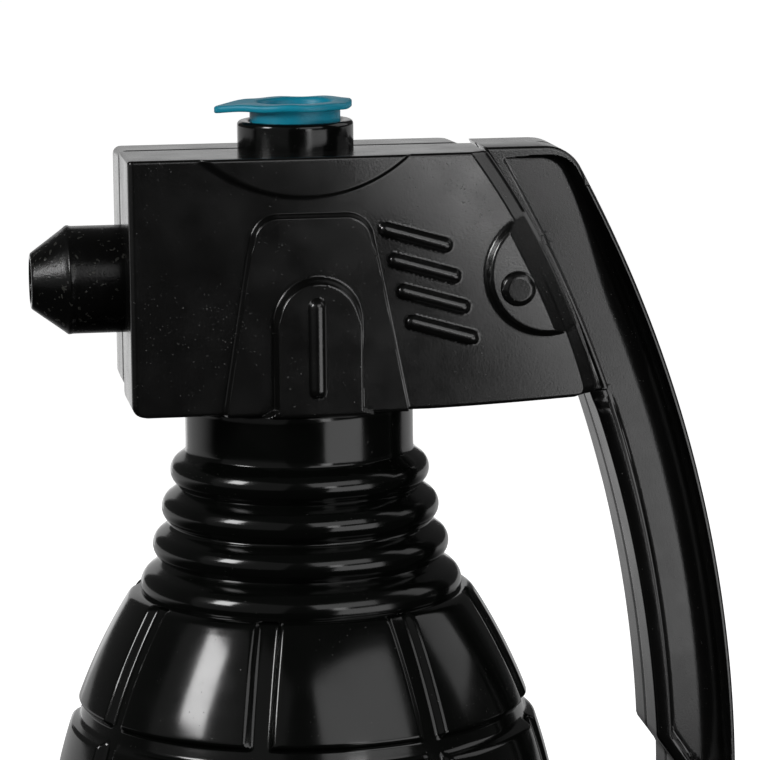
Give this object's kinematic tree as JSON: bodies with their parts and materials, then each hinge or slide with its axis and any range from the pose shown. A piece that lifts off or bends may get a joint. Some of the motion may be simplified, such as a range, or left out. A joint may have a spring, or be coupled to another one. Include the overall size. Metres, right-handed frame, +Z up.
{
  "type": "water squirter",
  "caption": "Lever-pumped water squirter: block-patterned black bottle under a slim pump head with a side nozzle, a curved squeeze lever and a filler spout with a teal plug.",
  "frame": {"origin": "centre of the bottle's flat foot", "axes": "+Z up the bottle's axis, -X along the nozzle, +X towards the lever, -Y out of the face with the panels"},
  "size_m": [0.0781, 0.0586, 0.1293],
  "materials": {
    "gloss_black": "glossy moulded plastic",
    "satin_black": "satin moulded plastic",
    "teal_soft": "soft satin plastic",
    "clear_white": "natural polyethylene",
    "seal_rubber": "matt rubber",
    "steel": "bright stainless"
  },
  "bodies": {
    "body": {"bottle": "gloss_black", "neck_plug": "gloss_black", "neck_seal": "seal_rubber", "front_shell": "satin_black", "rear_shell": "satin_black", "shell_screws": "steel", "filler_tube": "gloss_black", "pump_body": "clear_white", "return_spring": "steel", "outlet_spring": "steel", "barrel_seals": "seal_rubber", "dip_tube": "clear_white", "dip_filter": "clear_white", "nozzle": "gloss_black", "nozzle_jet": "gloss_black", "pivot_pin": "satin_black"},
    "lever": {"lever": "satin_black"},
    "piston": {"piston": "clear_white", "piston_seal": "seal_rubber"},
    "plug": {"filler_plug": "teal_soft"},
    "inlet_valve": {"inlet_ball": "steel"},
    "outlet_valve": {"outlet_ball": "steel"}
  },
  "joints": [
    {"name": "lever_hinge", "type": "hinge", "parent": "body", "child": "lever", "pos_m": [0.0226, 0, 0.10925], "axis": [0, 1, 0], "range_deg": [0, 10.5], "stiffness_Nm_per_rad": 0.4},
    {"name": "piston_slide", "type": "slide", "parent": "body", "child": "piston", "axis": [-1, 0, 0], "range_m": [0, 0.00145], "deforming": ["return_spring"]},
    {"name": "plug_lift", "type": "slide", "parent": "body", "child": "plug", "axis": [0, 0, 1], "range_m": [0, 0.012]},
    {"name": "inlet_lift", "type": "slide", "parent": "body", "child": "inlet_valve", "axis": [0, 0, 1], "range_m": [0, 0.0008]},
    {"name": "outlet_lift", "type": "slide", "parent": "body", "child": "outlet_valve", "axis": [-1, 0, 0], "range_m": [0, 0.0008], "deforming": ["outlet_spring"]}
  ],
  "couplings": [
    {"joint": "piston_slide", "follows": "lever_hinge", "m_per_rad": 0.0078}
  ]
}
